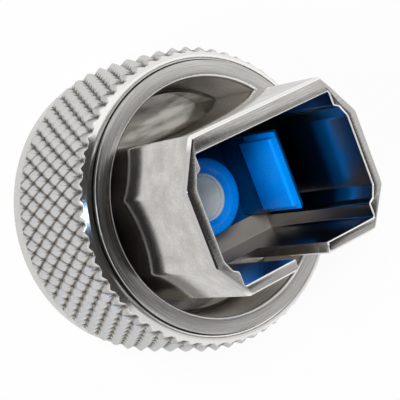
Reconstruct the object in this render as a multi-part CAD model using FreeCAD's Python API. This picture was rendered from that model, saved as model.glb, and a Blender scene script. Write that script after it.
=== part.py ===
import FreeCAD, Part
import math
import os

# Reflectometer fibre adapter: a plug port that screws onto an instrument.
# All sizes are millimetres. +Z runs along the axis from the rear face of the
# coupling ring (z = 0) towards the mouth of the port, which is where the plug
# goes in. X is the wide way of the port, and its keyway is on the -Y side.
# Sizes across the axis grow outwards from the cavity that takes the plug, and
# sizes along it hang from the front faces of the ring and the barrel.

# Port cavity, with a rail in each corner
cavity_half_height = 3.8
cavity_side_half_width = 5.52
rail_half_gap = 4.85
rail_length = 0.85
rail_thickness = 0.35
rail_tip_slope = 0.2
cavity_fold_drop = 0.65
rail_rear_clearance = 0.05

# Port housing
port_top_wall = 1.0
port_bottom_wall = 0.7
port_side_wall = 0.755
port_corner_inset = 0.15
port_fold_lift_top = 0.1
port_fold_lift_bottom = 0.2
port_corner_round = 0.35
port_fold_round = 0.6
port_height = 7.15
mouth_chamfer = 0.2
mouth_inner_chamfer = 0.08
keyway_width = 2.4
keyway_foot_height = 0.3
keyway_outer_round = 0.2
flange_thickness = 1.3
flange_clearance = 0.05
flange_edge_chamfer = 0.2

# Barrel
recess_gap = 0.282
recess_depth = 3.35
recess_taper = 0.25
recess_edge_chamfer = 0.12
barrel_wall = 1.0
barrel_stand_out = 0.4
barrel_edge_chamfer = 0.15
web_thickness = 1.2
web_hole_clearance = 0.05
seat_edge_chamfer = 0.15

# Coupling ring
ring_length = 8.9
ring_wall = 0.6
barrel_running_clearance = 0.06
knurl_depth = 0.34
knurl_count = 60
knurl_half_pitch = 0.9
knurl_front_margin = 0.5
knurl_rear_margin = 1.2
knurl_end_rise = 0.06
blank_under_knurl = 0.04
knurl_root_overlap = 0.45
lip_chamfer_radial = 0.28
lip_chamfer_height = 0.45
rear_chamfer_radial = 0.32
rear_chamfer_height = 0.35
front_bore_bevel = 0.1
thread_inset = 0.8
thread_lead_in = 0.3
thread_relief = 0.1

# Snap ring and its two grooves
snap_setback = 1.75
snap_thickness = 0.5
snap_depth_in_barrel = 0.44
snap_depth_in_ring = 0.16
snap_gap_width = 3.0
groove_side_clearance = 0.05
groove_floor_clearance = 0.06

# Alignment sleeve
sleeve_bore_radius = 1.25
sleeve_wall = 0.35
sleeve_slit_width = 0.45
sleeve_chamfer = 0.08
sleeve_pocket_clearance = 0.06
sleeve_end_clearance = 0.05
sleeve_end_cover = 0.35
sleeve_lip_inset = 0.13
sleeve_funnel_inset = 0.55

# Latch insert
insert_clearance = 0.05
plate_thickness = 1.3
hook_face_x = 3.0
hook_head_depth = 0.5
hook_head_length = 3.1
hook_head_half_height = 2.1
hook_head_ramp = 0.12
hook_arm_thickness = 0.62
hook_arm_half_height = 2.4
hook_outer_chamfer = 0.58
hook_setback = 4.5
hook_root_depth = 0.2
sleeve_tube_wall = 0.69
sleeve_tube_edge = 0.25
sleeve_tube_height = 2.35

# Rear sleeve holder
rear_tube_wall = 0.79
rear_tube_setback = 0.45
rear_tube_chamfer = 0.2
rear_flange_margin = 0.4
rear_flange_thickness = 0.7
rear_flange_clearance = 0.05

# Locating pin and screws
pin_radius = 0.6
pin_stem_radius = 0.95
pin_inset = 2.4
pin_stand_out = 1.3
pin_chamfer = 0.15
screw_edge_wall = 0.85
screw_thread_radius = 0.8
screw_thread_length = 0.95
screw_hole_clearance = 0.08
screw_head_radius = 1.4
screw_head_height = 0.6
screw_head_clearance = 0.03
screw_slot_width = 0.3
screw_slot_depth = 0.25

# Overshoot of cutting tools, and how near two places count as the same
cut_overshoot = 1.0
same_place = 0.001

# Worked-out sizes across the axis
rail_reach_y = cavity_half_height - rail_length
rail_step_x = rail_half_gap + rail_thickness
rail_step_y = rail_reach_y - rail_tip_slope
cavity_fold_y = rail_step_y - cavity_fold_drop
port_corner_x = rail_half_gap - port_corner_inset
port_side_x = cavity_side_half_width + port_side_wall
port_top_y = cavity_half_height + port_top_wall
port_bottom_y = -cavity_half_height - port_bottom_wall
port_fold_top_y = cavity_fold_y + port_fold_lift_top
port_fold_bottom_y = -cavity_fold_y - port_fold_lift_bottom
port_corner_reach = math.hypot(port_corner_x, port_top_y)
port_fold_reach = math.hypot(port_side_x, port_fold_bottom_y)
recess_radius = max(port_corner_reach, port_fold_reach) + recess_gap
recess_foot_radius = recess_radius - recess_taper
flange_radius = recess_foot_radius - flange_clearance
barrel_radius = recess_radius + barrel_wall
ring_bore_radius = barrel_radius + barrel_running_clearance
valley_radius = ring_bore_radius + ring_wall
ring_radius = valley_radius + knurl_depth
blank_radius = valley_radius - blank_under_knurl
lip_outer_radius = blank_radius - lip_chamfer_radial
thread_minor_radius = barrel_radius - thread_inset
snap_inner_radius = barrel_radius - snap_depth_in_barrel
snap_outer_radius = ring_bore_radius + snap_depth_in_ring
sleeve_outer_radius = sleeve_bore_radius + sleeve_wall
sleeve_pocket_radius = sleeve_outer_radius + sleeve_pocket_clearance
sleeve_lip_radius = sleeve_bore_radius + sleeve_lip_inset
sleeve_funnel_radius = sleeve_bore_radius + sleeve_funnel_inset
sleeve_tube_radius = sleeve_pocket_radius + sleeve_tube_wall
rear_tube_radius = sleeve_pocket_radius + rear_tube_wall
rear_flange_radius = cavity_half_height - rear_flange_margin
web_hole_radius = rear_tube_radius + web_hole_clearance
pin_place_x = pin_inset - thread_minor_radius
screw_hole_radius = screw_thread_radius + screw_hole_clearance
screw_place_radius = cavity_half_height + screw_edge_wall + screw_thread_radius

# Worked-out heights along the axis
barrel_front_z = ring_length + barrel_stand_out
recess_floor_z = barrel_front_z - recess_depth
flange_rear_z = recess_floor_z - flange_thickness
plate_front_z = flange_rear_z + plate_thickness
seat_z = flange_rear_z - web_thickness
thread_end_z = seat_z - thread_relief
snap_mid_z = ring_length - snap_setback
knurl_front_z = ring_length - knurl_front_margin
knurl_rows = 2 * round((knurl_front_z - knurl_rear_margin) / knurl_half_pitch / 2)
mouth_z = barrel_front_z + port_height
keyway_end_z = barrel_front_z + keyway_foot_height
hook_front_z = mouth_z - hook_setback
sleeve_tube_front_z = plate_front_z + sleeve_tube_height
sleeve_front_z = sleeve_tube_front_z - sleeve_end_cover
rear_tube_rear_z = rear_tube_setback
sleeve_rear_z = rear_tube_rear_z + sleeve_end_cover
screw_tip_z = flange_rear_z + screw_thread_length

AXIS = FreeCAD.Vector(0, 0, 1)
ORIGIN = FreeCAD.Vector(0, 0, 0)


def point(x, y, z=0.0):
    return FreeCAD.Vector(x, y, z)


def disc(radius, low, high, x=0.0, y=0.0):
    """Round bar along Z between two heights."""
    return Part.makeCylinder(radius, high - low, point(x, y, low), AXIS)


def cone(low_radius, high_radius, low, high, x=0.0, y=0.0):
    return Part.makeCone(low_radius, high_radius, high - low, point(x, y, low), AXIS)


def turned(profile):
    """Solid of revolution about Z from (radius, height) corners."""
    corners = [point(r, 0, z) for r, z in profile]
    face = Part.Face(Part.makePolygon(corners + corners[:1]))
    return face.revolve(ORIGIN, AXIS, 360)


def prism(outline, low, high):
    """Upright solid from a closed outline of (x, y) corners."""
    corners = [point(x, y, low) for x, y in outline]
    face = Part.Face(Part.makePolygon(corners + corners[:1]))
    return face.extrude(point(0, 0, high - low))


def box(x_low, x_high, y_low, y_high, z_low, z_high):
    size = (x_high - x_low, y_high - y_low, z_high - z_low)
    return Part.makeBox(*size, point(x_low, y_low, z_low))


def mirrored_x(outline):
    """Close a right-hand outline, listed top to bottom, with its mirror."""
    return outline + [(-x, y) for x, y in reversed(outline)]


def vertical_edges(shape, test):
    """Edges parallel to Z whose place passes a test on (x, y)."""
    found = []
    for edge in shape.Edges:
        box_of_edge = edge.BoundBox
        if max(box_of_edge.XLength, box_of_edge.YLength) > same_place:
            continue
        if test(box_of_edge.XMin, box_of_edge.YMin):
            found.append(edge)
    return found


def only_solid(shape):
    """The one solid of a boolean result."""
    clean = shape.removeSplitter()
    return clean.Solids[0] if len(clean.Solids) == 1 else clean


def save(shape, node):
    shape.exportStep("parts/" + node + ".step")


# Coupling ring

def knurl_point(step, row):
    """A corner of the knurl: valley where step and row add up to even, else a crest."""
    last = row in (0, knurl_rows)
    crest = (step + row) % 2 == 1
    radius = valley_radius
    if crest:
        radius = valley_radius + knurl_end_rise if last else ring_radius
    angle = math.pi * step / knurl_count
    height = knurl_front_z - (knurl_rows - row) * knurl_half_pitch
    return point(radius * math.cos(angle), radius * math.sin(angle), height)


def triangle(a, b, c):
    return Part.Face(Part.makePolygon([a, b, c, a]))


def knurl_skin():
    """Four flat facets round each crest, between crossing straight valleys."""
    faces = []
    steps = 2 * knurl_count
    for row in range(knurl_rows + 1):
        for step in range(steps):
            if (step + row) % 2 == 0:
                continue
            top = knurl_point(step, row)
            left = knurl_point(step - 1, row)
            right = knurl_point(step + 1, row)
            if row < knurl_rows:
                ahead = knurl_point(step, row + 1)
                faces.append(triangle(top, right, ahead))
                faces.append(triangle(top, ahead, left))
            if row > 0:
                behind = knurl_point(step, row - 1)
                faces.append(triangle(top, behind, right))
                faces.append(triangle(top, left, behind))
    return faces


def knurled_sleeve():
    """The knurl as a closed tube whose inside is buried in the turned blank."""
    faces = knurl_skin()
    inner_radius = valley_radius - knurl_root_overlap
    steps = 2 * knurl_count
    ends = {}
    for row in (0, knurl_rows):
        rim = [knurl_point(step, row) for step in range(steps)]
        root = []
        for p in rim:
            scale = inner_radius / math.hypot(p.x, p.y)
            root.append(point(p.x * scale, p.y * scale, p.z))
        ends[row] = root
        face = Part.Face(Part.makePolygon(rim + rim[:1]))
        hole = Part.Face(Part.makePolygon(root + root[:1]))
        faces.append(face.cut(hole).Faces[0])
    low = ends[0]
    high = ends[knurl_rows]
    for step in range(steps):
        after = (step + 1) % steps
        corners = [low[step], low[after], high[after], high[step]]
        faces.append(Part.Face(Part.makePolygon(corners + corners[:1])))
    shell = Part.makeShell(faces)
    shell.sewShape()
    return Part.makeSolid(shell)


def ring_blank():
    chamfer_foot_z = ring_length - lip_chamfer_height
    bore_mouth = ring_bore_radius + front_bore_bevel
    thread_mouth = thread_minor_radius + thread_lead_in
    return turned([
        (thread_mouth, 0),
        (blank_radius - rear_chamfer_radial, 0),
        (blank_radius, rear_chamfer_height),
        (blank_radius, chamfer_foot_z),
        (lip_outer_radius, ring_length),
        (bore_mouth, ring_length),
        (ring_bore_radius, ring_length - front_bore_bevel),
        (ring_bore_radius, thread_end_z),
        (thread_minor_radius, thread_end_z),
        (thread_minor_radius, thread_lead_in),
    ])


def groove(inner_radius, outer_radius):
    half = snap_thickness / 2 + groove_side_clearance
    low = snap_mid_z - half
    high = snap_mid_z + half
    return disc(outer_radius, low, high).cut(disc(inner_radius, low, high))


def coupling_ring():
    ring = ring_blank().fuse(knurled_sleeve())
    inside = ring_bore_radius - cut_overshoot
    ring = ring.cut(groove(inside, snap_outer_radius + groove_floor_clearance))
    return ring.Solids[0]


def snap_ring():
    low = snap_mid_z - snap_thickness / 2
    high = snap_mid_z + snap_thickness / 2
    ring = disc(snap_outer_radius, low, high).cut(disc(snap_inner_radius, low, high))
    reach = snap_outer_radius + cut_overshoot
    gap = box(0, reach, -snap_gap_width / 2, snap_gap_width / 2, low, high)
    return only_solid(ring.cut(gap))


# Barrel

def screw_places():
    return [(0, screw_place_radius), (0, -screw_place_radius)]


def barrel():
    body = turned([
        (web_hole_radius, seat_z),
        (barrel_radius - seat_edge_chamfer, seat_z),
        (barrel_radius, seat_z + seat_edge_chamfer),
        (barrel_radius, barrel_front_z - barrel_edge_chamfer),
        (barrel_radius - barrel_edge_chamfer, barrel_front_z),
        (recess_radius + recess_edge_chamfer, barrel_front_z),
        (recess_radius, barrel_front_z - recess_edge_chamfer),
        (recess_foot_radius, recess_floor_z),
        (recess_foot_radius, flange_rear_z),
        (web_hole_radius, flange_rear_z),
    ])
    outside = barrel_radius + cut_overshoot
    body = body.cut(groove(snap_inner_radius - groove_floor_clearance, outside))
    for x, y in screw_places():
        head_top = seat_z + screw_head_height
        body = body.cut(disc(screw_hole_radius, seat_z, flange_rear_z, x, y))
        wide = screw_head_radius + screw_head_clearance
        narrow = screw_thread_radius + screw_head_clearance
        body = body.cut(cone(wide, narrow, seat_z, head_top, x, y))
    body = body.cut(disc(pin_stem_radius, seat_z, flange_rear_z, pin_place_x, 0))
    return only_solid(body)


def locating_pin():
    """A dowel whose thicker stem is pressed into the barrel's web."""
    low = seat_z - pin_stand_out
    tip = cone(pin_radius - pin_chamfer, pin_radius, low, low + pin_chamfer, pin_place_x, 0)
    shank = disc(pin_radius, low + pin_chamfer, seat_z, pin_place_x, 0)
    stem = disc(pin_stem_radius, seat_z, flange_rear_z, pin_place_x, 0)
    return only_solid(tip.fuse(shank).fuse(stem))


def flange_screws():
    screws = []
    head_top = seat_z + screw_head_height
    for x, y in screw_places():
        head = cone(screw_head_radius, screw_thread_radius, seat_z, head_top, x, y)
        stem = disc(screw_thread_radius, head_top, screw_tip_z, x, y)
        reach = screw_head_radius
        half = screw_slot_width / 2
        slot = box(x - reach, x + reach, y - half, y + half, seat_z, seat_z + screw_slot_depth)
        screws.append(only_solid(head.fuse(stem).cut(slot)))
    return Part.makeCompound(screws)


# Port housing

def port_outline():
    """Eight-sided section of the housing, top right corner first."""
    return mirrored_x([
        (port_corner_x, port_top_y),
        (port_side_x, port_fold_top_y),
        (port_side_x, port_fold_bottom_y),
        (port_corner_x, port_bottom_y),
    ])


def cavity_outline(inset=0.0):
    """Inside of the port between its corner rails, top right first."""
    half = cavity_half_height - inset
    side = cavity_side_half_width - inset
    gap = rail_half_gap - inset
    return mirrored_x([
        (gap, half),
        (gap, rail_reach_y),
        (rail_step_x - inset, rail_step_y),
        (side, cavity_fold_y),
        (side, -cavity_fold_y),
        (rail_step_x - inset, -rail_step_y),
        (gap, -rail_reach_y),
        (gap, -half),
    ])


def plate_outline(inset=0.0):
    """Wider cavity behind the rails, which holds the plate of the latch insert."""
    half = cavity_half_height - inset
    side = cavity_side_half_width - inset
    return mirrored_x([
        (rail_step_x - inset, half),
        (side, cavity_fold_y),
        (side, -cavity_fold_y),
        (rail_step_x - inset, -half),
    ])


def mouth_edges(shape, height):
    found = []
    for edge in shape.Edges:
        bounds = edge.BoundBox
        if max(abs(bounds.ZMin - height), abs(bounds.ZMax - height)) < same_place:
            found.append(edge)
    return found


def keyway():
    """Slot in the bottom wall, flared by a round at each outer corner."""
    half = keyway_width / 2
    outside_y = port_bottom_y - cut_overshoot
    inside_y = cut_overshoot - cavity_half_height
    slot = box(-half, half, outside_y, inside_y, keyway_end_z, mouth_z)
    round_y = port_bottom_y + keyway_outer_round
    for side in (1, -1):
        round_x = side * (half + keyway_outer_round)
        low_x = min(round_x, side * half)
        high_x = max(round_x, side * half)
        corner = box(low_x, high_x, outside_y, round_y, keyway_end_z, mouth_z)
        post = disc(keyway_outer_round, keyway_end_z, mouth_z, round_x, round_y)
        slot = slot.fuse(corner.cut(post))
    return slot


def port_column():
    column = prism(port_outline(), recess_floor_z, mouth_z)
    folds = vertical_edges(column, lambda x, y: abs(abs(x) - port_side_x) < same_place)
    column = column.makeFillet(port_fold_round, folds)
    corners = vertical_edges(column, lambda x, y: abs(abs(x) - port_corner_x) < same_place)
    column = column.makeFillet(port_corner_round, corners)
    column = column.cut(keyway())
    return column.makeChamfer(mouth_chamfer, mouth_edges(column, mouth_z))


def cavity_bevel():
    """Small bevel round the inner edge of the mouth."""
    wires = []
    for inset, height in ((0.0, mouth_z - mouth_inner_chamfer), (-mouth_inner_chamfer, mouth_z)):
        corners = [point(x, y, height) for x, y in cavity_outline(inset)]
        wires.append(Part.makePolygon(corners + corners[:1]))
    return Part.makeLoft(wires, True, True)


def port_housing():
    edge_z = recess_floor_z - flange_edge_chamfer
    edge = cone(flange_radius, flange_radius - flange_edge_chamfer, edge_z, recess_floor_z)
    flange = disc(flange_radius, flange_rear_z, edge_z).fuse(edge)
    shell = flange.fuse(port_column())
    rail_rear_z = plate_front_z + rail_rear_clearance
    shell = shell.cut(prism(cavity_outline(), rail_rear_z, mouth_z + cut_overshoot))
    shell = shell.cut(prism(plate_outline(), flange_rear_z, rail_rear_z))
    shell = shell.cut(cavity_bevel())
    for x, y in screw_places():
        shell = shell.cut(disc(screw_thread_radius, flange_rear_z, screw_tip_z, x, y))
    return only_solid(shell)


# Latch insert and alignment sleeve

def hook(side):
    """One latch arm with its inward head, as a section along X and Z."""
    arm_in = hook_face_x + hook_head_depth
    arm_out = arm_in + hook_arm_thickness
    nose_out = arm_out - hook_outer_chamfer
    head_rear = hook_front_z - hook_head_length
    foot_z = plate_front_z - hook_root_depth

    def bar(outline, half_height):
        corners = [point(side * x, -half_height, z) for x, z in outline]
        face = Part.Face(Part.makePolygon(corners + corners[:1]))
        return face.extrude(point(0, 2 * half_height, 0))

    arm = bar([
        (arm_in, foot_z),
        (arm_out, foot_z),
        (arm_out, hook_front_z - hook_outer_chamfer),
        (nose_out, hook_front_z),
        (arm_in, hook_front_z),
    ], hook_arm_half_height)
    head = bar([
        (arm_in, head_rear),
        (arm_in, hook_front_z),
        (hook_face_x + hook_head_ramp, hook_front_z),
        (hook_face_x, hook_front_z - hook_head_ramp),
        (hook_face_x, head_rear),
    ], hook_head_half_height)
    return arm.fuse(head)


def sleeve_tube():
    front = sleeve_tube_front_z
    lip_z = sleeve_front_z + sleeve_end_clearance
    return turned([
        (sleeve_pocket_radius, flange_rear_z),
        (sleeve_tube_radius, flange_rear_z),
        (sleeve_tube_radius, front - sleeve_tube_edge),
        (sleeve_tube_radius - sleeve_tube_edge, front),
        (sleeve_funnel_radius, front),
        (sleeve_lip_radius, lip_z),
        (sleeve_pocket_radius, lip_z),
    ])


def latch_insert():
    plate = prism(plate_outline(insert_clearance), flange_rear_z, plate_front_z)
    bore = disc(sleeve_pocket_radius, flange_rear_z, plate_front_z)
    insert = plate.cut(bore).fuse(sleeve_tube())
    for side in (1, -1):
        insert = insert.fuse(hook(side))
    pocket_radius = rear_flange_radius + rear_flange_clearance
    pocket_top = flange_rear_z + rear_flange_thickness
    insert = insert.cut(disc(pocket_radius, flange_rear_z, pocket_top))
    return only_solid(insert)


def rear_sleeve_holder():
    flange_top = flange_rear_z + rear_flange_thickness
    lip_z = sleeve_rear_z - sleeve_end_clearance
    return turned([
        (sleeve_lip_radius, lip_z),
        (sleeve_funnel_radius, rear_tube_rear_z),
        (rear_tube_radius - rear_tube_chamfer, rear_tube_rear_z),
        (rear_tube_radius, rear_tube_rear_z + rear_tube_chamfer),
        (rear_tube_radius, flange_rear_z),
        (rear_flange_radius, flange_rear_z),
        (rear_flange_radius, flange_top),
        (sleeve_pocket_radius, flange_top),
        (sleeve_pocket_radius, lip_z),
    ])


def split_sleeve():
    sleeve = turned([
        (sleeve_bore_radius + sleeve_chamfer, sleeve_rear_z),
        (sleeve_outer_radius, sleeve_rear_z),
        (sleeve_outer_radius, sleeve_front_z),
        (sleeve_bore_radius + sleeve_chamfer, sleeve_front_z),
        (sleeve_bore_radius, sleeve_front_z - sleeve_chamfer),
        (sleeve_bore_radius, sleeve_rear_z + sleeve_chamfer),
    ])
    half = sleeve_slit_width / 2
    reach = sleeve_outer_radius + cut_overshoot
    slit = box(-half, half, 0, reach, sleeve_rear_z, sleeve_front_z)
    return only_solid(sleeve.cut(slit))


def build():
    os.makedirs("parts", exist_ok=True)
    save(coupling_ring(), "coupling_ring")
    save(barrel(), "barrel")
    save(snap_ring(), "snap_ring")
    save(port_housing(), "port_housing")
    save(latch_insert(), "latch_insert")
    save(rear_sleeve_holder(), "rear_sleeve_holder")
    save(split_sleeve(), "split_sleeve")
    save(locating_pin(), "locating_pin")
    save(flange_screws(), "flange_screws")


build()
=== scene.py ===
import math

import bmesh
import bpy
import numpy as np
from mathutils import Matrix, Vector


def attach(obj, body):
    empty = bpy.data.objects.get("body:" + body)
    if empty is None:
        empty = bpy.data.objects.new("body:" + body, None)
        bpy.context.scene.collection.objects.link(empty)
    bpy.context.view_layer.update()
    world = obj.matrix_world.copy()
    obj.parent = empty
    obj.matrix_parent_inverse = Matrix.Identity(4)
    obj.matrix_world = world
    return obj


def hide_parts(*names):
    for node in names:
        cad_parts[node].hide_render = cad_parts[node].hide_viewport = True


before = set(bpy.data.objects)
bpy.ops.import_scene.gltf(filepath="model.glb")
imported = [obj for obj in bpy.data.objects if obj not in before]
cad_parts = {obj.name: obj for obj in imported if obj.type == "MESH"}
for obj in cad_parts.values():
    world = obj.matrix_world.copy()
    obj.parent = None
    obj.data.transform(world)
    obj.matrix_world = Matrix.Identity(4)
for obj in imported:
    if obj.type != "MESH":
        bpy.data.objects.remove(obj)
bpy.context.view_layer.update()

MM = 0.001
SCENE = bpy.context.scene

# Sizes in millimetres, as in the part's source. Heights start at the coupling ring's rear face.
RING_TOP = 8.9
RING_BORE = 8.06
RING_REAR = 8.62
LIP_RADIUS = 8.34
CONE_SLOPE = 0.75
GROOVE_LOW = 6.85
GROOVE_HIGH = 7.45
THREAD_ROOT = 7.56
THREAD_CREST = 7.2
THREAD_PITCH = 0.75
THREAD_TOP = 3.3
BARREL_RADIUS = 8.0
BARREL_FRONT = 9.3
RECESS_RADIUS = 7.0
RECESS_FOOT = 6.75
WEB_HOLE = 2.5
SEAT_Z = 3.45
WEB_Z = 4.65
FLOOR_Z = 5.95
SCREW_Y = 5.45
PIN_X = -4.8
KEY_FOOT_Z = 9.6
MOUTH_Z = 16.45
RIM_ROUND = 0.08
HOOK_TOP = 11.95
SLEEVE_POCKET = 1.66
TUBE_RADIUS = 2.35
TUBE_TOP = 8.3

# The knurl. KNURL_STEPS counts the crests and the grooves between them round the ring.
KNURL_STEPS = 120
STEP_PARTS = 6
HALF_PITCH = 0.9
KNURL_LOW = 1.2
VALLEY = 8.66
CREST = 9.0
FRONT_VALLEY = 8.53
FRONT_DEPTH = 0.15
BEVEL_LOW = 7.95
BEVEL_HIGH = 8.42
ROWS_BELOW_BEVEL = 45

# The port's corners as (x, y, rounding)
OUTER = [
    (4.7, -4.5, 0.35), (6.275, -2.3, 0.6), (6.275, 2.2, 0.6), (4.7, 4.8, 0.35),
    (-4.7, 4.8, 0.35), (-6.275, 2.2, 0.6), (-6.275, -2.3, 0.6), (-4.7, -4.5, 0.35),
]
INNER = [
    (-4.85, -3.8, 0.12), (-4.85, -2.95, 0.16), (-5.2, -2.75, 0.07), (-5.52, -2.1, 0.4),
    (-5.52, 2.1, 0.4), (-5.2, 2.75, 0.07), (-4.85, 2.95, 0.16), (-4.85, 3.8, 0.12),
    (4.85, 3.8, 0.12), (4.85, 2.95, 0.16), (5.2, 2.75, 0.07), (5.52, 2.1, 0.4),
    (5.52, -2.1, 0.4), (5.2, -2.75, 0.07), (4.85, -2.95, 0.16), (4.85, -3.8, 0.12),
]
KEY_OUTER = [(1.3, -4.5), (-1.3, -4.5)]
KEY_INNER = [(-1.2, -3.8), (1.2, -3.8)]
KEY_BEVEL_Y = -4.4
PLATE_HOLE = [
    (5.2, 3.8), (-5.2, 3.8), (-5.52, 2.1), (-5.52, -2.1),
    (-5.2, -3.8), (5.2, -3.8), (5.52, -2.1), (5.52, 2.1),
]
PLATE = [
    (5.15, 3.75), (-5.15, 3.75), (-5.47, 2.1), (-5.47, -2.1),
    (-5.15, -3.75), (5.15, -3.75), (5.47, -2.1), (5.47, 2.1),
]


# Shader helpers

def add(tree, kind, links=(), **values):
    """A shader node with its settings, input values and incoming links."""
    made = tree.nodes.new(kind)
    for key, value in values.items():
        if key in made.inputs:
            made.inputs[key].default_value = value
        else:
            setattr(made, key, value)
    for socket, source in links:
        tree.links.new(source, made.inputs[socket])
    return made


def calc(tree, operation, first, second=None, third=None):
    """One sum on sockets or plain numbers."""
    made = add(tree, "ShaderNodeMath", operation=operation)
    for slot, value in enumerate((first, second, third)):
        if value is None:
            continue
        if isinstance(value, (int, float)):
            made.inputs[slot].default_value = value
        else:
            tree.links.new(value, made.inputs[slot])
    return made.outputs[0]


def above(tree, value, limit):
    return calc(tree, "GREATER_THAN", value, limit)


def below(tree, value, limit):
    return calc(tree, "LESS_THAN", value, limit)


def product(tree, first, *others):
    for other in others:
        first = calc(tree, "MULTIPLY", first, other)
    return first


def plus_share(tree, share, amount, start):
    """start, plus amount where share is 1."""
    return calc(tree, "MULTIPLY_ADD", share, amount, start)


def spread(tree, value, low_in, high_in, low, high):
    """Maps low_in to high_in onto low to high, and holds the ends."""
    made = add(tree, "ShaderNodeMapRange", [("Value", value)])
    made.inputs["From Min"].default_value = low_in
    made.inputs["From Max"].default_value = high_in
    made.inputs["To Min"].default_value = low
    made.inputs["To Max"].default_value = high
    return made.outputs[0]


def tint(tree, factor, dark, light):
    """Mix of two colours, each a triple or a socket."""
    made = add(tree, "ShaderNodeMix", data_type="RGBA")
    tree.links.new(factor, made.inputs[0])
    for slot, colour in ((6, dark), (7, light)):
        if isinstance(colour, tuple):
            made.inputs[slot].default_value = (*colour, 1)
        else:
            tree.links.new(colour, made.inputs[slot])
    return made.outputs[2]


def noise(tree, vector, scale, detail=3.0, rough=0.55):
    made = add(tree, "ShaderNodeTexNoise", [("Vector", vector)],
               Scale=scale, Detail=detail, Roughness=rough)
    return made.outputs["Fac"]


def noisy_tint(tree, value, low_in, high_in, dark, light):
    """Mix of two colours that follows a noise between two of its levels."""
    return tint(tree, spread(tree, value, low_in, high_in, 0.0, 1.0), dark, light)


def bump(tree, height, strength, distance, normal=None):
    links = [("Height", height)]
    if normal:
        links.append(("Normal", normal))
    return add(tree, "ShaderNodeBump", links, Strength=strength, Distance=distance).outputs[0]


def split(tree, vector):
    return add(tree, "ShaderNodeSeparateXYZ", [(0, vector)]).outputs


def combine(tree, *values):
    return add(tree, "ShaderNodeCombineXYZ", list(enumerate(values))).outputs[0]


def across_axis(tree, vector):
    """The part of a vector that is square to the main axis."""
    flat = add(tree, "ShaderNodeVectorMath", [(0, vector)], operation="MULTIPLY")
    flat.inputs[1].default_value = (1, 1, 0)
    return flat.outputs[0]


def away_from_axis(tree, vector):
    links = [(0, across_axis(tree, vector))]
    return add(tree, "ShaderNodeVectorMath", links, operation="LENGTH").outputs["Value"]


# Camera, floor, world and lamps

def make_camera():
    data = bpy.data.cameras.new("photo_camera")
    data.sensor_width = 36
    data.lens = 160.5
    data.clip_start = 0.005
    data.clip_end = 10
    camera = bpy.data.objects.new("photo_camera", data)
    right = Vector((0.76504, -0.353777, 0.538104))
    up = Vector((0.377049, 0.923463, 0.071068))
    back = Vector((-0.522061, 0.148522, 0.839877))
    turn = Matrix((right, up, back)).transposed().to_4x4()
    place = Vector((-54.8565, 15.5061, 95.6903)) * MM
    camera.matrix_world = Matrix.Translation(place) @ turn
    SCENE.collection.objects.link(camera)
    SCENE.camera = camera


def make_floor():
    """A pale disc that looks white to the camera and half as bright in reflections."""
    rim = circle(0.6, 48)
    verts = [(0, 0, 0)] + [(x, y, 0) for x, y in rim]
    faces = [(0, k + 1, (k + 1) % len(rim) + 1) for k in range(len(rim))]
    mesh = bpy.data.meshes.new("floor")
    mesh.from_pydata(verts, [], faces)
    floor = bpy.data.objects.new("floor", mesh)
    SCENE.collection.objects.link(floor)
    mat = bpy.data.materials.new("pale_floor")
    mat.use_nodes = True
    tree = mat.node_tree
    tree.nodes.clear()
    path = add(tree, "ShaderNodeLightPath")
    seen = calc(tree, "MULTIPLY", path.outputs["Is Camera Ray"], 0.94)
    for ray in ("Is Glossy Ray", "Is Transmission Ray"):
        seen = calc(tree, "MAXIMUM", seen, calc(tree, "MULTIPLY", path.outputs[ray], 0.45))
    matt = add(tree, "ShaderNodeBsdfDiffuse", Color=(0.66, 0.66, 0.66, 1))
    glow = add(tree, "ShaderNodeEmission", Color=(1, 1, 1, 1), Strength=1.0)
    mix = add(tree, "ShaderNodeMixShader", [(0, seen), (1, matt.outputs[0]), (2, glow.outputs[0])])
    add(tree, "ShaderNodeOutputMaterial", [("Surface", mix.outputs[0])])
    mesh.materials.append(mat)


def beyond(tree, axes, across, up, edge, soft=0.02):
    """1 where a direction lies beyond a straight edge in the plan of the sky, else 0."""
    first = calc(tree, "MULTIPLY", axes["X"], across)
    both = calc(tree, "MULTIPLY_ADD", axes["Y"], up, first)
    return spread(tree, both, edge - soft, edge + soft, 0.0, 1.0)


def make_world():
    """Two large pale panels with an unlit gap between them on the camera's side."""
    world = bpy.data.worlds.new("studio")
    world.use_nodes = True
    SCENE.world = world
    tree = world.node_tree
    tree.nodes.clear()
    axes = split(tree, add(tree, "ShaderNodeTexCoord").outputs["Generated"])
    right_panel = beyond(tree, axes, 0.695, 0.719, 0.305)
    front_panel = beyond(tree, axes, 0.391, -0.9205, 0.400)
    colour = tint(tree, front_panel, (0.045, 0.043, 0.041), (0.74, 0.735, 0.725))
    colour = tint(tree, right_panel, colour, (1.05, 1.045, 1.03))
    path = add(tree, "ShaderNodeLightPath")
    level = plus_share(tree, path.outputs["Is Diffuse Ray"], -0.55, 1.0)
    back = add(tree, "ShaderNodeBackground", [("Color", colour), ("Strength", level)])
    add(tree, "ShaderNodeOutputWorld", [("Surface", back.outputs[0])])


def lamp(name, place, height, size, power, colour=(1, 1, 1), in_gloss=True):
    """An area lamp aimed at the main axis at the given height in metres."""
    data = bpy.data.lights.new(name, "AREA")
    data.shape = "RECTANGLE"
    data.size, data.size_y = size
    data.energy = power
    data.color = colour
    made = bpy.data.objects.new(name, data)
    made.location = place
    aim = Vector((0, 0, height)) - Vector(place)
    made.rotation_euler = aim.to_track_quat("-Z", "Y").to_euler()
    made.visible_camera = False
    made.visible_glossy = in_gloss
    SCENE.collection.objects.link(made)


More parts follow.
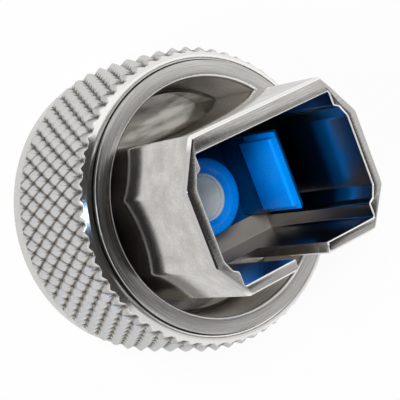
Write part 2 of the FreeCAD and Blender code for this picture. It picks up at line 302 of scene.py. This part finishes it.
def make_lamps():
    """Two lamps for the matt pieces, and two narrow ones that glint in the metal."""
    lamp("key", (-0.369, 0.03, 0.262), 0.008, (0.10, 0.10), 1.45, in_gloss=False)
    lamp("top", (-0.20, 0.135, 0.37), 0.008, (0.12, 0.12), 1.45, in_gloss=False)
    lamp("strip", (-0.288, 0.075, 0.045), 0.009, (0.018, 0.085), 0.035)
    lamp("blue_strip", (-0.2885, 0.0752, 0.05), 0.009, (0.06, 0.10), 0.034, (0.30, 0.60, 1.0))


# Mesh helpers: outlines and profiles are in millimetres

def circle(radius, count, y=0.0):
    angles = [2 * math.pi * k / count for k in range(count)]
    return [(radius * math.cos(a), y + radius * math.sin(a)) for a in angles]


def quarter_round(radius, turns):
    """(inset, drop) of a rounded edge at each of the given turns in degrees."""
    turns = [math.radians(a) for a in turns]
    return [(radius * (1 - math.cos(a)), radius * (1 - math.sin(a))) for a in turns]


def eased(corners, radius, steps=4, sources=None):
    """Closed outline with its corners rounded. A corner is (x, y) or (x, y, own radius).

    sources, if given, is filled with the number of the corner that each point came from.
    """
    out = []
    if sources is None:
        sources = []
    count = len(corners)
    for k in range(count):
        here = Vector(corners[k][:2])
        before = Vector(corners[k - 1][:2]) - here
        after = Vector(corners[(k + 1) % count][:2]) - here
        own = corners[k][2] if len(corners[k]) > 2 else radius
        angle = before.angle(after)
        if own <= 0 or angle > math.radians(176):
            out.append(tuple(here))
            sources.append(k)
            continue
        reach = own / math.tan(angle / 2)
        limit = 0.48 * min(before.length, after.length)
        if reach > limit:
            reach = limit
            own = reach * math.tan(angle / 2)
        start = here + before.normalized() * reach
        end = here + after.normalized() * reach
        middle = (before.normalized() + after.normalized()).normalized()
        centre = here + middle * (own / math.sin(angle / 2))
        a = start - centre
        b = end - centre
        sweep = a.angle(b)
        for i in range(steps + 1):
            w = i / steps
            p = (a * math.sin((1 - w) * sweep) + b * math.sin(w * sweep)) / math.sin(sweep)
            out.append(tuple(centre + p))
            sources.append(k)
    return out


def inset(points, distances):
    """Moves each edge of a closed counter-clockwise outline inwards by its own distance."""
    count = len(points)
    lines = []
    for k in range(count):
        p = Vector(points[k])
        along = (Vector(points[(k + 1) % count]) - p).normalized()
        inward = Vector((-along.y, along.x))
        lines.append((p + inward * distances[k], along, inward))
    out = []
    for k in range(count):
        p, u, n = lines[k - 1]
        q, v, m = lines[k]
        cross = u.x * v.y - u.y * v.x
        if abs(cross) < 0.02:
            shift = (n * distances[k - 1] + m * distances[k]) / 2
            out.append(tuple(Vector(points[k]) + shift))
            continue
        gap = q - p
        out.append(tuple(p + u * ((gap.x * v.y - gap.y * v.x) / cross)))
    return out


def ring_rows(profile, columns, x=0.0, y=0.0):
    """Points of a turned surface, one row per (radius, height)."""
    angles = 2 * np.pi * np.arange(columns) / columns
    rows = []
    for r, z in profile:
        row = [x + r * np.cos(angles), y + r * np.sin(angles), np.full(columns, z)]
        rows.append(np.stack(row, 1))
    return rows


def skin(rows, closed=False):
    """Quads between rows of points."""
    faces = []
    count = len(rows[0])
    last = len(rows) if closed else len(rows) - 1
    for j in range(last):
        low = j * count
        high = ((j + 1) % len(rows)) * count
        for i in range(count):
            n = (i + 1) % count
            faces.append((low + i, low + n, high + n, high + i))
    return faces


def turned(profile, columns, x=0.0, y=0.0, closed=True):
    rows = ring_rows(profile, columns, x, y)
    return np.concatenate(rows), skin(rows, closed)


def stacked(rows, caps=()):
    """Points and faces of equal loops, with a face over each end that caps names."""
    verts = [p for row in rows for p in row]
    faces = skin(rows)
    count = len(rows[0])
    if "first" in caps:
        faces.append(tuple(range(count - 1, -1, -1)))
    if "last" in caps:
        faces.append(tuple(range(len(verts) - count, len(verts))))
    return verts, faces


def bar(outline, half_length, ease, side=1, y=0.0):
    """A bar along Y from an (x, z) outline, with rounded edges at its ends."""
    points = eased(outline, ease)
    area = 0
    for k in range(len(points)):
        area += points[k - 1][0] * points[k][1] - points[k][0] * points[k - 1][1]
    if area < 0:
        points = points[::-1]
    near = []
    far = []
    for back, short in quarter_round(ease, (90, 67.5, 45, 22.5, 0)):
        moved = inset(points, [back] * len(points))
        near.append([(side * x, y - half_length + short, z) for x, z in moved])
        far.insert(0, [(side * x, y + half_length - short, z) for x, z in moved])
    return stacked(near + far, ("first", "last"))


def slab(levels, holes):
    """A plate with holes. levels are (height, outline) up its side, and so is each hole.

    A hole that ends below the top is closed there.
    """
    bm = bmesh.new()
    rings = [[bm.verts.new((x, y, z)) for x, y in outline] for z, outline in levels]
    pairs = list(zip(rings, rings[1:]))
    ends = [[rings[0]], [rings[-1]]]
    for hole in holes:
        loops = [[bm.verts.new((x, y, z)) for x, y in outline] for z, outline in hole]
        pairs += zip(loops, loops[1:])
        ends[0].append(loops[0])
        if hole[-1][0] < levels[-1][0]:
            bm.faces.new(loops[-1])
        else:
            ends[1].append(loops[-1])
    for low, high in pairs:
        for k in range(len(low)):
            n = (k + 1) % len(low)
            bm.faces.new((low[k], low[n], high[n], high[k]))
    for loops in ends:
        edges = []
        for loop in loops:
            for k in range(len(loop)):
                pair = (loop[k], loop[(k + 1) % len(loop)])
                edges.append(bm.edges.get(pair) or bm.edges.new(pair))
        bmesh.ops.triangle_fill(bm, edges=edges, use_beauty=True)
    bm.verts.index_update()
    verts = [tuple(v.co) for v in bm.verts]
    faces = [tuple(v.index for v in f.verts) for f in bm.faces]
    bm.free()
    return verts, faces


def finish_mesh(obj, sharp):
    obj.data.shade_smooth()
    obj.data.set_sharp_from_angle(angle=math.radians(sharp))


def solid(name, parts, mat, sharp=38.0, weld=True):
    """An object from several (points, faces) pairs in millimetres.

    weld merges points that coincide and turns the faces outwards.
    """
    verts = []
    faces = []
    for points, quads in parts:
        base = len(verts)
        verts.extend([tuple(float(c) * MM for c in p) for p in points])
        faces.extend([tuple(base + i for i in quad) for quad in quads])
    mesh = bpy.data.meshes.new(name)
    mesh.from_pydata(verts, [], faces)
    if weld:
        bm = bmesh.new()
        bm.from_mesh(mesh)
        bmesh.ops.remove_doubles(bm, verts=bm.verts, dist=1e-7)
        bmesh.ops.recalc_face_normals(bm, faces=bm.faces)
        bm.to_mesh(mesh)
        bm.free()
    obj = bpy.data.objects.new(name, mesh)
    SCENE.collection.objects.link(obj)
    mesh.materials.append(mat)
    finish_mesh(obj, sharp)
    return obj


def piece(name, parts, body, node, mat, sharp=40.0, weld=True):
    """A solid that stands for a node of the part and rides its body."""
    obj = solid(name, parts, mat, sharp, weld)
    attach(obj, body)
    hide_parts(node)
    return obj


def cut_away(obj, tool):
    """Subtracts a tool object from obj and removes the tool."""
    step = obj.modifiers.new("cut", "BOOLEAN")
    step.object = tool
    step.operation = "DIFFERENCE"
    step.solver = "EXACT"
    bpy.context.view_layer.update()
    graph = bpy.context.evaluated_depsgraph_get()
    mesh = bpy.data.meshes.new_from_object(obj.evaluated_get(graph))
    obj.modifiers.clear()
    obj.data = mesh
    bpy.data.objects.remove(tool)


# Materials

def start_material(name):
    """A material, its tree and the place on the part in millimetres."""
    mat = bpy.data.materials.new(name)
    mat.use_nodes = True
    tree = mat.node_tree
    tree.nodes.clear()
    place = add(tree, "ShaderNodeTexCoord").outputs["Object"]
    scaled = add(tree, "ShaderNodeVectorMath", [(0, place)], operation="SCALE", Scale=1000.0)
    return mat, tree, scaled.outputs[0]


def end_material(mat, tree, colour, rough, normal, links=(), **values):
    links = [("Base Color", colour), ("Roughness", rough), ("Normal", normal), *links]
    shader = add(tree, "ShaderNodeBsdfPrincipled", links, **values)
    add(tree, "ShaderNodeOutputMaterial", [("Surface", shader.outputs[0])])
    return mat


def plated_ring():
    """Satin nickel knurl: paler lines along the groove bottoms, painted shade beside the grooves
    and where they cross, and four facet tones that paint reflection and shade by the way each
    facet faces, partly as burnish.
    """
    mat, tree, mm = start_material("plated_ring")
    x, y, height = split(tree, mm)
    radius = away_from_axis(tree, mm)
    step = calc(tree, "MULTIPLY", calc(tree, "ARCTAN2", y, x), KNURL_STEPS / (4 * math.pi))
    row_start = -0.5 * KNURL_LOW / HALF_PITCH
    row = calc(tree, "MULTIPLY_ADD", height, 0.5 / HALF_PITCH, row_start)
    first = calc(tree, "SUBTRACT", step, row)
    second = calc(tree, "ADD", step, row)
    near_first = calc(tree, "PINGPONG", first, 0.5)
    near_second = calc(tree, "PINGPONG", second, 0.5)
    near = calc(tree, "MINIMUM", near_first, near_second)
    far = calc(tree, "MAXIMUM", near_first, near_second)

    cone = calc(tree, "MULTIPLY_ADD", height, -CONE_SLOPE, LIP_RADIUS + RING_TOP * CONE_SLOPE)
    knurled = product(
        tree,
        above(tree, calc(tree, "SUBTRACT", cone, radius), 0.006),
        above(tree, radius, 8.4),
        above(tree, height, 1.25),
        below(tree, height, 8.75),
    )

    grain = noise(tree, mm, 13.0, 5.0, 0.7)
    cloud = noise(tree, mm, 2.4, 3.0)
    fine = spread(tree, grain, 0.3, 0.7, 0.0, 1.0)
    # Four facet tones by the way each facet faces. The first family's pair is partly burnish and
    # partly painted reflection; the second family's darker side is painted shade.
    late_first = above(tree, calc(tree, "FRACT", first), 0.5)
    late_second = above(tree, calc(tree, "FRACT", second), 0.5)
    one = tint(tree, late_first, (0.59, 0.605, 0.63), (0.52, 0.51, 0.49))
    two = tint(tree, late_second, (0.49, 0.475, 0.455), (0.70, 0.68, 0.65))
    facet_shade_tones = tint(tree, below(tree, near_first, near_second), two, one)
    even = tint(tree, fine, (0.56, 0.55, 0.53), (0.73, 0.72, 0.695))
    facet_shade_tones = tint(tree, spread(tree, cloud, 0.3, 0.7, 0.35, 1.0), even, facet_shade_tones)
    smooth = tint(tree, fine, (0.84, 0.83, 0.81), (0.90, 0.89, 0.87))
    smooth = tint(tree, below(tree, height, 1.5), smooth, even)
    colour = tint(tree, knurled, smooth, facet_shade_tones)

    # Painted shade: darkening beside the grooves and where they cross, as if these hollows were in
    # shade.
    shade_beside_groove = product(
        tree,
        spread(tree, near, 0.03, 0.12, 1.0, 0.0),
        spread(tree, near, 0.005, 0.03, 0.35, 1.0),
        spread(tree, cloud, 0.3, 0.6, 0.35, 1.0),
    )
    shade_at_crossing = spread(tree, far, 0.10, 0.27, 1.0, 0.0)
    painted_groove_shade = product(tree, calc(tree, "MAXIMUM", shade_beside_groove, shade_at_crossing), knurled)
    colour = tint(tree, painted_groove_shade, colour, (0.12, 0.105, 0.09))
    rough = plus_share(tree, knurled, 0.20, spread(tree, grain, 0.3, 0.7, 0.10, 0.20))
    grainy = product(tree, grain, plus_share(tree, knurled, 0.85, 0.15))
    return end_material(mat, tree, colour, rough, bump(tree, grainy, 0.5, 0.000014), Metallic=1.0)


def turned_metal():
    """Turned nickel: fine rings left by the tool, a circular sheen, a duller recess and a painted
    highlight on the recess's front edge.
    """
    mat, tree, mm = start_material("turned_metal")
    radius = away_from_axis(tree, mm)
    height = split(tree, mm)["Z"]
    outward = add(tree, "ShaderNodeVectorMath", [(0, across_axis(tree, mm))],
                  operation="NORMALIZE").outputs[0]
    way = split(tree, outward)
    across = calc(tree, "ADD", radius, height)
    place = combine(tree, product(tree, across, 17.0),
                    product(tree, way["X"], 2.2), product(tree, way["Y"], 2.2))
    rings = noise(tree, place, 1.0, 6.0, 0.75)
    # Painted highlight: the recess's rounded front edge is near white and half matt, standing in
    # for its highlight.
    edge = product(tree, below(tree, radius, RECESS_RADIUS + 0.13),
                   above(tree, height, BARREL_FRONT - 0.065))
    wall = product(tree, below(tree, radius, RECESS_RADIUS - 0.01),
                   above(tree, height, WEB_Z + 0.05))
    colour = noisy_tint(tree, rings, 0.32, 0.68, (0.33, 0.32, 0.31), (0.66, 0.65, 0.635))
    colour = tint(tree, edge, colour, (0.92, 0.91, 0.89))
    colour = tint(tree, wall, colour, (0.58, 0.53, 0.48))
    rough = plus_share(tree, edge, 0.2, spread(tree, rings, 0.3, 0.7, 0.17, 0.3))
    metal = plus_share(tree, edge, -0.55, plus_share(tree, wall, -0.5, 1.0))
    around = add(tree, "ShaderNodeTangent", direction_type="RADIAL", axis="Z")
    return end_material(mat, tree, colour, rough, bump(tree, rings, 0.45, 0.000006),
                        [("Tangent", around.outputs[0]), ("Metallic", metal)], Anisotropic=0.6)


def inside_port(tree, x, y):
    """1 on the walls of the cavity and the front edge round it, 0 on the port's outside."""
    wide = calc(tree, "ABSOLUTE", x)
    high = calc(tree, "ABSOLUTE", y)
    slant = calc(tree, "ADD", product(tree, wide, 0.855), product(tree, high, 0.518))
    return product(tree, below(tree, slant, 6.1), below(tree, high, 4.0), below(tree, wide, 5.9))


def plated_casting():
    """Bright nickel over a cast wall, tarnished at its foot with painted bluish reflection
    patches, painted highlights on the mouth's chamfer and inner lip, a darker streaked flange top,
    and duller walls inside.
    """
    mat, tree, mm = start_material("plated_casting")
    x, y, height = split(tree, mm)
    waves = noise(tree, mm, 0.45, 2.0)
    pits = noise(tree, mm, 10.0, 5.0, 0.7)
    specks = noise(tree, mm, 5.0, 2.0)
    patches = noise(tree, mm, 0.9, 3.0)
    tarnish_and_reflection_noise = noise(tree, mm, 2.6, 3.0)
    streaks = noise(tree, combine(tree, product(tree, x, 0.30), product(tree, y, 1.5)), 1.0, 4.0)
    scratches = noise(tree, combine(tree, product(tree, x, 0.5), product(tree, y, 14.0)),
                      1.0, 4.0, 0.7)

    rim_z = MOUTH_Z - 0.004
    cavity = inside_port(tree, x, y)
    inner = product(tree, cavity, below(tree, height, MOUTH_Z - 0.09))
    # Painted highlight: the inner lip round the cavity's mouth is near white and half matt.
    painted_lip_highlight = product(tree, calc(tree, "SUBTRACT", cavity, inner), below(tree, height, rim_z))
    ledge = product(tree, inner, below(tree, height, 6.3))
    rim = above(tree, height, rim_z)
    chamfer = above(tree, height, MOUTH_Z - 0.32)
    flange_top = below(tree, height, FLOOR_Z + 0.02)
    top_wall = above(tree, y, 4.79)
    foot = spread(tree, plus_share(tree, waves, -2.0, height), 6.6, 5.0, 0.0, 1.0)

    colour = noisy_tint(tree, pits, 0.3, 0.7, (0.53, 0.515, 0.49), (0.76, 0.74, 0.71))
    colour = noisy_tint(tree, specks, 0.70, 0.78, colour, (0.34, 0.32, 0.30))
    dimmed = spread(tree, patches, 0.3, 0.65, 0.42, 0.0)
    colour = tint(tree, dimmed, colour, (0.30, 0.285, 0.265))
    # The foot: dark tarnish, with bluish patches that are painted reflection.
    tarnish_and_blue_reflection = noisy_tint(tree, tarnish_and_reflection_noise, 0.42, 0.66, (0.20, 0.19, 0.175), (0.50, 0.56, 0.64))
    colour = tint(tree, foot, colour, tarnish_and_blue_reflection)
    # The flange's top: a darker tone with streaks.
    streaked_floor_tone = noisy_tint(tree, streaks, 0.38, 0.62, (0.20, 0.19, 0.175), (0.46, 0.445, 0.42))
    colour = tint(tree, flange_top, colour, streaked_floor_tone)
    # Painted highlight on the mouth's outer chamfer, whitest where it runs along the top and
    # bottom faces.
    level = spread(tree, calc(tree, "ABSOLUTE", y), 4.0, 4.4, 0.0, 1.0)
    painted_chamfer_highlight = tint(tree, level, (0.52, 0.51, 0.50), (0.93, 0.92, 0.90))
    colour = tint(tree, chamfer, colour, painted_chamfer_highlight)
    sheared = noisy_tint(tree, scratches, 0.3, 0.7, (0.36, 0.35, 0.335), (0.58, 0.57, 0.555))
    colour = tint(tree, rim, colour, sheared)
    dull = tint(tree, waves, (0.38, 0.37, 0.36), (0.52, 0.51, 0.50))
    colour = tint(tree, inner, colour, dull)
    colour = tint(tree, ledge, colour, (0.60, 0.565, 0.52))
    colour = tint(tree, painted_lip_highlight, colour, (0.90, 0.89, 0.87))

    rough = plus_share(tree, top_wall, -0.07, spread(tree, pits, 0.3, 0.7, 0.10, 0.17))
    rough = plus_share(tree, inner, 0.08, rough)
    metal = plus_share(tree, ledge, -0.5, plus_share(tree, painted_lip_highlight, -0.5, 1.0))
    lines = bump(tree, pits, 0.3, 0.000006, bump(tree, waves, 0.3, 0.00002))
    return end_material(mat, tree, colour, rough, lines, [("Metallic", metal)])


def moulded_plastic(name, deep, light):
    """Glossy moulded plastic with faint flow marks, and painted shade low down between the tube
    and the walls.
    """
    mat, tree, mm = start_material(name)
    flow = noise(tree, mm, 0.9, 3.0)
    grain = noise(tree, mm, 14.0, 3.0)
    # Painted shade: low down and away from the tube the colour drops to a third of the deep tone.
    low = product(tree, below(tree, split(tree, mm)["Z"], 8.8),
                  above(tree, away_from_axis(tree, mm), 2.46))
    colour = tint(tree, flow, deep, light)
    colour = tint(tree, low, colour, tuple(0.3 * c for c in deep))
    rough = spread(tree, grain, 0.3, 0.7, 0.2, 0.3)
    return end_material(mat, tree, colour, rough, bump(tree, grain, 0.15, 0.000006),
                        **{"IOR": 1.5, "Subsurface Weight": 0.3, "Subsurface Scale": 0.0006})


def white_ceramic():
    """Ground white ceramic, with painted shade on its front end."""
    mat, tree, mm = start_material("white_ceramic")
    cloud = noise(tree, mm, 1.6, 3.0)
    grain = noise(tree, mm, 20.0, 3.0)
    # Painted shade: the front end is a darker blue-grey.
    painted_shade_front_end = above(tree, split(tree, mm)["Z"], 7.75)
    colour = tint(tree, cloud, (0.86, 0.88, 0.91), (0.92, 0.93, 0.95))
    colour = tint(tree, painted_shade_front_end, colour, (0.52, 0.57, 0.63))
    rough = spread(tree, grain, 0.3, 0.7, 0.14, 0.22)
    return end_material(mat, tree, colour, rough, bump(tree, grain, 0.1, 0.000004),
                        **{"IOR": 1.6, "Subsurface Weight": 0.6, "Subsurface Scale": 0.0009})


def plain_steel(name, low, high, rough_low, rough_high):
    mat, tree, mm = start_material(name)
    colour = tint(tree, noise(tree, mm, 2.2, 4.0), low, high)
    grain = noise(tree, mm, 18.0, 4.0)
    rough = spread(tree, grain, 0.3, 0.7, rough_low, rough_high)
    return end_material(mat, tree, colour, rough, bump(tree, grain, 0.25, 0.000008), Metallic=1.0)


# Coupling ring

def knurl_height(step, row):
    """Height from 0 in the grooves to 1 on the points, with steep foot and flatter facets."""
    first = ((step - row) / 2) % 1
    second = ((step + row) / 2) % 1
    rise = np.minimum(1 - np.abs(2 * first - 1), 1 - np.abs(2 * second - 1))
    return np.interp(rise, [0, 1 / 6, 1 / 3, 2 / 3, 5 / 6, 1], [0, 0.21, 0.38, 0.72, 0.88, 1.0])


def ring_outside():
    """The knurl and the front cone, cut into each other, on one fine grid."""
    columns = KNURL_STEPS * STEP_PARTS
    row_height = HALF_PITCH / STEP_PARTS
    bevel_row_height = 0.05
    heights = [0.35, 0.7, 1.0, KNURL_LOW - 0.1]
    heights += [KNURL_LOW + row_height * k for k in range(ROWS_BELOW_BEVEL)]
    heights += [BEVEL_LOW + bevel_row_height * k for k in range(1, 17)] + [8.8, 8.85]
    grid_step, grid_z = np.meshgrid(np.arange(columns) / STEP_PARTS, np.array(heights))
    rise = knurl_height(grid_step, (grid_z - KNURL_LOW) / HALF_PITCH)
    bevel = np.clip((grid_z - BEVEL_LOW) / (BEVEL_HIGH - BEVEL_LOW), 0, 1)
    valley = VALLEY + (FRONT_VALLEY - VALLEY) * bevel
    depth = (CREST - VALLEY) + (FRONT_DEPTH - (CREST - VALLEY)) * bevel
    front_cone = LIP_RADIUS + (RING_TOP - grid_z) * CONE_SLOPE
    rear_cone = RING_REAR + np.maximum(grid_z - 1.15, 0) * 0.9
    radius = np.minimum(valley + depth * rise, np.minimum(front_cone, rear_cone))
    angle = grid_step * math.pi / (KNURL_STEPS / 2)
    points = np.stack([radius * np.cos(angle), radius * np.sin(angle), grid_z], 2)
    faces = []
    for j in range(len(heights) - 1):
        for i in range(columns):
            n = (i + 1) % columns
            a, b = j * columns + i, j * columns + n
            c, d = (j + 1) * columns + n, (j + 1) * columns + i
            one = abs(radius[j, i] - radius[j + 1, n])
            two = abs(radius[j, n] - radius[j + 1, i])
            if one <= two:
                faces += [(a, b, c), (a, c, d)]
            else:
                faces += [(a, b, d), (b, c, d)]
    return points.reshape(-1, 3), faces


def ring_lip():
    profile = [
        (8.3775, 8.85), (8.351, 8.885), (LIP_RADIUS, 8.895), (8.325, RING_TOP), (8.09, RING_TOP),
        (8.07, 8.893), (RING_BORE, 8.875), (RING_BORE, 8.4),
    ]
    return turned(profile, KNURL_STEPS * STEP_PARTS, closed=False)


def ring_inside():
    """Bore, groove, shoulder and the coupling thread down to the rear face."""
    columns = 288
    rows_per_turn = 14
    groove = 8.28
    rows = ring_rows([
        (RING_BORE, 8.4), (RING_BORE, GROOVE_HIGH), (groove, GROOVE_HIGH), (groove, GROOVE_LOW),
        (RING_BORE, GROOVE_LOW), (RING_BORE, 3.4), (8.01, 3.35), (7.62, 3.35),
    ], columns)
    angles = 2 * np.pi * np.arange(columns) / columns
    for z in np.arange(THREAD_TOP, 0.0, -THREAD_PITCH / rows_per_turn):
        turn = (z / THREAD_PITCH + angles / (2 * np.pi)) % 1
        tooth = np.clip((np.abs(2 * turn - 1) - 0.12) / 0.7, 0, 1)
        run_out = min(1.0, (THREAD_TOP - z) / 0.25)
        lead_in = THREAD_CREST + max(0.0, 0.38 - z)
        radius = THREAD_ROOT - (THREAD_ROOT - THREAD_CREST) * tooth * run_out
        radius = np.maximum(radius, lead_in)
        row = [radius * np.cos(angles), radius * np.sin(angles), np.full(columns, z)]
        rows.append(np.stack(row, 1))
    rows += ring_rows([
        (THREAD_ROOT, 0.03), (7.60, 0.0), (8.26, 0.0), (8.31, 0.015), (8.60, 0.32),
        (RING_REAR, 0.35),
    ], columns)
    return np.concatenate(rows), skin(rows)


def make_coupling_ring(mat):
    parts = [ring_outside(), ring_lip(), ring_inside()]
    piece("knurled_ring", parts, "coupling_nut", "coupling_ring", mat,
          sharp=22, weld=False)


# Barrel

def make_barrel(mat):
    groove = 7.5
    corners = [
        (WEB_HOLE, SEAT_Z, 0.03), (7.85, SEAT_Z), (BARREL_RADIUS, 3.6),
        (BARREL_RADIUS, GROOVE_LOW), (groove, GROOVE_LOW, 0),
        (groove, GROOVE_HIGH, 0), (BARREL_RADIUS, GROOVE_HIGH),
        (BARREL_RADIUS, 9.255, 0.15), (7.12, BARREL_FRONT), (RECESS_RADIUS, 9.18),
        (RECESS_FOOT, FLOOR_Z, 0), (RECESS_FOOT, WEB_Z, 0), (WEB_HOLE, WEB_Z),
    ]
    barrel = piece("turned_barrel", [turned(eased(corners, 0.02, 3), 360)],
                   "adapter_body", "barrel", mat)
    low, high = SEAT_Z - 0.15, WEB_Z + 0.2
    screw = [(0.0, low), (1.58, low), (1.43, SEAT_Z), (0.88, 4.05), (0.88, high), (0.0, high)]
    pin = [(0.0, low), (0.96, low), (0.96, high), (0.0, high)]
    for shape, x, y in ((screw, 0, SCREW_Y), (screw, 0, -SCREW_Y), (pin, PIN_X, 0)):
        cut_away(barrel, solid("tool", [turned(shape, 64, x, y, closed=False)], mat))
    finish_mesh(barrel, 40)


# Port housing

def port_section():
    """The wall's section as one counter-clockwise outline, open at the keyway, and for each
    of its edges how the mouth breaks it."""
    outer = [KEY_OUTER[0]] + OUTER + [KEY_OUTER[1]]
    left = [(KEY_INNER[0][0], KEY_BEVEL_Y), KEY_INNER[0]]
    right = [KEY_INNER[1], (KEY_INNER[1][0], KEY_BEVEL_Y)]
    corners = outer + left + INNER + right
    sources = []
    outline = eased(corners, 0, 6, sources)
    bevels = (len(outer) - 1, len(corners) - 1)
    kinds = []
    for k in sources:
        kinds.append("bevel" if k in bevels else "outer" if k < len(outer) else "inner")
    return outline, kinds


def port_walls(outline, kinds):
    """The walls from the keyway's foot to the mouth, with the chamfer outside the rim."""
    chamfer = [(0.0, 0.34), (0.006, 0.31), (0.095, 0.085), (0.108, 0.055), (0.13, 0.024),
               (0.16, 0.006), (0.19, 0.0)]
    rounding = quarter_round(RIM_ROUND, (0, 15, 30, 45, 60, 75, 90))
    rows = [[(x, y, KEY_FOOT_Z) for x, y in outline]]
    for outer, inner in zip(chamfer, rounding):
        steps = {"outer": outer, "bevel": (0.8 * outer[0], outer[1]), "inner": inner}
        moved = inset(outline, [steps[kind][0] for kind in kinds])
        row = []
        for n, (x, y) in enumerate(moved):
            drop = (steps[kinds[n - 1]][1] + steps[kinds[n]][1]) / 2
            row.append((x, y, MOUTH_Z - drop))
        rows.append(row)
    return stacked(rows, ("last",))


def corner_number(outline, corner):
    x, y = corner
    return next(k for k, p in enumerate(outline) if abs(p[0] - x) + abs(p[1] - y) < 1e-6)


def below_keyway(outline):
    """The walls under the keyway's foot, closed all round, and the foot itself."""
    start, stop = [corner_number(outline, corner) for corner in KEY_OUTER]
    foot, heel = [corner_number(outline, corner) for corner in KEY_INNER]
    parts = []
    for loop in (outline[start:stop + 1], outline[foot:heel + 1]):
        parts.append(stacked([[(x, y, z) for x, y in loop] for z in (FLOOR_Z, KEY_FOOT_Z)]))
    sill = outline[stop:foot + 1] + outline[heel:] + outline[:start + 1]
    parts.append(([(x, y, KEY_FOOT_Z) for x, y in sill], [tuple(range(len(sill)))]))
    return parts


def floor_ledges():
    """Two low ledges over the edges of the insert's plate."""
    section = [(-5.15, FLOOR_Z), (5.15, FLOOR_Z), (5.15, 6.15), (-5.15, 6.15)]
    return [bar(section, 0.62, 0.05, y=y) for y in (3.22, -3.22)]


def flange():
    """The round foot of the port, open where the insert's plate sits, with the screw holes."""
    levels = []
    for z, radius in ((WEB_Z, 6.70), (5.73, 6.70), (5.77, 6.685), (5.93, 6.52), (FLOOR_Z, 6.48)):
        levels.append((z, circle(radius, 180)))
    holes = [[(WEB_Z, PLATE_HOLE), (FLOOR_Z, PLATE_HOLE)]]
    for y in (SCREW_Y, -SCREW_Y):
        outline = circle(0.82, 48, y)
        holes.append([(WEB_Z, outline), (5.62, outline)])
    return slab(levels, holes)


def make_port_housing(mat):
    outline, kinds = port_section()
    parts = [port_walls(outline, kinds)] + below_keyway(outline) + floor_ledges() + [flange()]
    piece("port_shell", parts, "adapter_body", "port_housing", mat, sharp=20)


# Latch insert, sleeve, holder and pin

def plate():
    """The plate, with a hole for the sleeve and a pocket for the rear holder's flange."""
    outline = eased(PLATE, 0.1, 3)
    levels = [(WEB_Z, outline)]
    for back, drop in quarter_round(0.06, (0, 30, 60, 90)):
        levels.append((FLOOR_Z - drop, inset(outline, [back] * len(outline))))
    pocket = circle(3.45, 96)
    hole = circle(SLEEVE_POCKET, 96)
    return slab(levels, [[(WEB_Z, pocket), (5.4, pocket), (5.4, hole), (FLOOR_Z, hole)]])


def make_latch_insert(mat):
    low = FLOOR_Z - 0.1
    arm = [(3.5, low), (4.12, low), (4.12, 11.35), (3.52, HOOK_TOP), (3.5, HOOK_TOP)]
    head = [(3.6, 8.85), (3.6, 11.93), (3.12, HOOK_TOP), (3.0, 11.83), (3.0, 8.85)]
    tube = [
        (SLEEVE_POCKET, low), (2.42, low), (TUBE_RADIUS, 6.0), (TUBE_RADIUS, TUBE_TOP, 0.24),
        (1.72, TUBE_TOP, 0.12), (1.39, 7.98), (SLEEVE_POCKET, 7.97),
    ]
    parts = [plate()]
    for side in (1, -1):
        parts.append(bar(arm, 2.4, 0.07, side))
        parts.append(bar(head, 2.1, 0.06, side))
    parts.append(turned(eased(tube, 0.02), 160))
    piece("blue_latch_insert", parts, "adapter_body", "latch_insert", mat)


def make_sleeve(mat):
    """A ceramic tube with one slit along it on the +Y side."""
    profile = eased([
        (1.33, 0.8), (1.6, 0.8), (1.6, 7.95), (1.44, 7.95), (1.31, 7.9, 0.06), (1.25, 7.7),
        (1.25, 0.88),
    ], 0.03, 3)
    half_slit = 0.225
    columns = 120
    rows = []
    for k in range(columns + 1):
        row = []
        for r, z in profile:
            half = math.asin(half_slit / r)
            a = math.pi / 2 + half + (2 * math.pi - 2 * half) * k / columns
            row.append((r * math.cos(a), r * math.sin(a), z))
        rows.append(row)
    piece("slit_sleeve", [stacked(rows, ("first", "last"))],
          "adapter_body", "split_sleeve", mat, sharp=35)


def make_rear_holder(mat):
    profile = eased([
        (1.38, 0.75, 0.02), (1.8, 0.45, 0.05), (2.25, 0.45, 0.06), (2.45, 0.65, 0.1),
        (2.45, WEB_Z), (3.4, WEB_Z), (3.4, 5.35), (SLEEVE_POCKET, 5.35), (SLEEVE_POCKET, 0.75),
    ], 0.03)
    piece("holder_tube", [turned(profile, 160)],
          "adapter_body", "rear_sleeve_holder", mat)


def make_pin(mat):
    profile = eased([
        (0.0, 2.15, 0), (0.45, 2.15, 0.06), (0.6, 2.3, 0.1), (0.6, SEAT_Z, 0),
        (0.95, SEAT_Z, 0), (0.95, WEB_Z, 0), (0.0, WEB_Z, 0),
    ], 0)
    piece("guide_pin", [turned(profile, 64, PIN_X, 0, closed=False)],
          "adapter_body", "locating_pin", mat)


def dress(node, mat):
    """Gives a carried-over node its finish."""
    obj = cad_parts[node]
    for material_slot in obj.material_slots:
        material_slot.material = mat


SCENE.view_settings.view_transform = "Standard"
make_camera()
make_floor()
make_world()
make_lamps()
make_coupling_ring(plated_ring())
make_barrel(turned_metal())
make_port_housing(plated_casting())
make_latch_insert(moulded_plastic("blue_plastic", (0.0, 0.22, 0.80), (0.0, 0.27, 0.88)))
make_rear_holder(moulded_plastic("holder_plastic", (0.0, 0.16, 0.56), (0.0, 0.20, 0.66)))
make_sleeve(white_ceramic())
make_pin(plain_steel("pin_steel", (0.50, 0.50, 0.50), (0.62, 0.62, 0.61), 0.16, 0.24))
dress("snap_ring",
      plain_steel("spring_wire", (0.36, 0.36, 0.37), (0.46, 0.46, 0.46), 0.3, 0.42))
dress("flange_screws",
      plain_steel("screw_steel", (0.40, 0.40, 0.41), (0.54, 0.54, 0.54), 0.24, 0.36))
